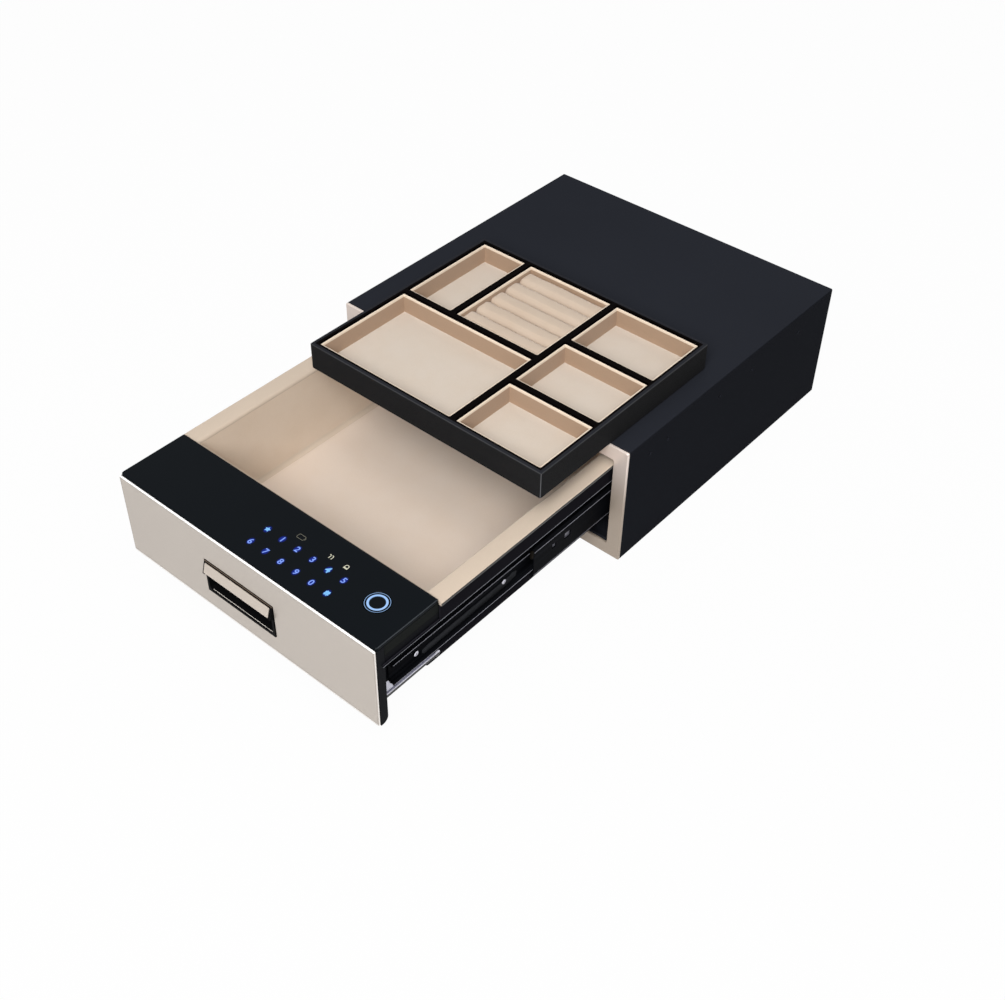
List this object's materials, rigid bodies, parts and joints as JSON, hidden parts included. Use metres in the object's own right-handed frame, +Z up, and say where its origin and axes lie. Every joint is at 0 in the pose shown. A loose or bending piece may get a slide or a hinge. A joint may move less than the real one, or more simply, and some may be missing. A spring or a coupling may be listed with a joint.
{
  "type": "under desk drawer safe",
  "caption": "Shallow steel cabinet with a lined drawer on ball-bearing slides, a touch keypad and fingerprint reader on the drawer's front block, motor bolts, and a divided lift-out tray.",
  "frame": {"origin": "centre of the cabinet's flat underside", "axes": "+X to the right seen from the front, +Y to the back, away from the drawer front, +Z up, out of the cabinet's top; the drawer pulls out along -Y"},
  "size_m": [0.35, 0.6487, 0.1583],
  "materials": {
    "cabinet_black": "fine matt powder coat, bluish black",
    "champagne": "satin champagne metallic with bright chamfers",
    "slide_black": "black electrophoretic coat, semi-gloss",
    "bearing_steel": "bright drawn steel",
    "zinc": "zinc-plated sheet",
    "lining": "soft beige suede lining",
    "moulded_black": "fine matt moulding",
    "black_glass": "back-printed black panel, satin gloss",
    "sensor_black": "gloss black sensor window",
    "light_ring": "translucent pale blue light guide",
    "circuit_board": "green solder mask",
    "cell": "plain wrapped cell",
    "tray_black": "black grained leatherette",
    "tray_lining": "soft beige velvet lining",
    "ring_roll": "soft beige velvet over foam"
  },
  "bodies": {
    "cabinet": {"cabinet_shell": "cabinet_black", "front_frame": "champagne", "back_panel": "cabinet_black", "slide_bracket_right": "cabinet_black", "slide_bracket_left": "cabinet_black", "slide_outer_right": "slide_black", "slide_outer_left": "slide_black"},
    "drawer": {"slide_inner_right": "slide_black", "slide_inner_left": "slide_black", "drawer_body": "cabinet_black", "drawer_liner": "lining", "drawer_floor_pad": "lining", "front_face": "champagne", "front_plate": "moulded_black", "block_housing": "moulded_black", "block_chassis": "zinc", "touch_panel": "black_glass", "fingerprint_sensor": "sensor_black", "fingerprint_ring": "light_ring", "control_board": "circuit_board", "handle_housing": "moulded_black", "handle_plate": "champagne", "battery_holder": "moulded_black", "battery_1": "cell", "battery_2": "cell", "battery_3": "cell", "battery_4": "cell", "battery_cover": "moulded_black", "lock_case": "zinc", "lock_motor": "zinc"},
    "middle_rail_right": {"slide_middle_right": "slide_black"},
    "middle_rail_left": {"slide_middle_left": "slide_black"},
    "cage_outer_right": {"ball_cage_outer_right": "bearing_steel"},
    "cage_outer_left": {"ball_cage_outer_left": "bearing_steel"},
    "cage_inner_right": {"ball_cage_inner_right": "bearing_steel"},
    "cage_inner_left": {"ball_cage_inner_left": "bearing_steel"},
    "pinion": {"lock_pinion": "bearing_steel"},
    "bolt_right": {"lock_bolt_right": "bearing_steel"},
    "bolt_left": {"lock_bolt_left": "bearing_steel"},
    "tray": {"tray_shell": "tray_black", "tray_lining_large": "tray_lining", "tray_lining_small": "tray_lining", "tray_lining_rings": "tray_lining", "tray_lining_right_front": "tray_lining", "tray_lining_right_middle": "tray_lining", "tray_lining_right_rear": "tray_lining", "ring_roll_1": "ring_roll", "ring_roll_2": "ring_roll", "ring_roll_3": "ring_roll", "ring_roll_4": "ring_roll", "ring_roll_5": "ring_roll"}
  },
  "joints": [
    {"name": "drawer_slide", "type": "slide", "parent": "cabinet", "child": "drawer", "axis": [0, -1, 0], "range_m": [-0.2245, 0.0755]},
    {"name": "middle_rail_slide_right", "type": "slide", "parent": "cabinet", "child": "middle_rail_right", "axis": [0, -1, 0], "range_m": [-0.1123, 0.0378]},
    {"name": "middle_rail_slide_left", "type": "slide", "parent": "cabinet", "child": "middle_rail_left", "axis": [0, -1, 0], "range_m": [-0.1123, 0.0378]},
    {"name": "cage_outer_slide_right", "type": "slide", "parent": "cabinet", "child": "cage_outer_right", "axis": [0, -1, 0], "range_m": [-0.0562, 0.0189]},
    {"name": "cage_outer_slide_left", "type": "slide", "parent": "cabinet", "child": "cage_outer_left", "axis": [0, -1, 0], "range_m": [-0.0562, 0.0189]},
    {"name": "cage_inner_slide_right", "type": "slide", "parent": "cabinet", "child": "cage_inner_right", "axis": [0, -1, 0], "range_m": [-0.1684, 0.0567]},
    {"name": "cage_inner_slide_left", "type": "slide", "parent": "cabinet", "child": "cage_inner_left", "axis": [0, -1, 0], "range_m": [-0.1684, 0.0567]},
    {"name": "lock_bolt_slide_right", "type": "slide", "parent": "drawer", "child": "bolt_right", "axis": [1, 0, 0], "range_m": [0, 0.0255]},
    {"name": "lock_bolt_slide_left", "type": "slide", "parent": "drawer", "child": "bolt_left", "axis": [-1, 0, 0], "range_m": [0, 0.0256]},
    {"name": "lock_pinion_turn", "type": "hinge", "parent": "drawer", "child": "pinion", "pos_m": [0, -0.3882, 0.042], "axis": [0, -1, 0], "range_deg": [0, 183]},
    {"name": "tray_lift", "type": "slide", "parent": "cabinet", "child": "tray", "axis": [0, 0, 1], "range_m": [0, 0.12]}
  ],
  "couplings": [
    {"joint": "middle_rail_slide_right", "follows": "drawer_slide", "ratio": 0.5},
    {"joint": "middle_rail_slide_left", "follows": "drawer_slide", "ratio": 0.5},
    {"joint": "cage_outer_slide_right", "follows": "drawer_slide", "ratio": 0.25},
    {"joint": "cage_outer_slide_left", "follows": "drawer_slide", "ratio": 0.25},
    {"joint": "cage_inner_slide_right", "follows": "drawer_slide", "ratio": 0.75},
    {"joint": "cage_inner_slide_left", "follows": "drawer_slide", "ratio": 0.75},
    {"joint": "lock_bolt_slide_left", "follows": "lock_bolt_slide_right", "ratio": 1},
    {"joint": "lock_pinion_turn", "follows": "lock_bolt_slide_right", "rad_per_m": 125}
  ]
}
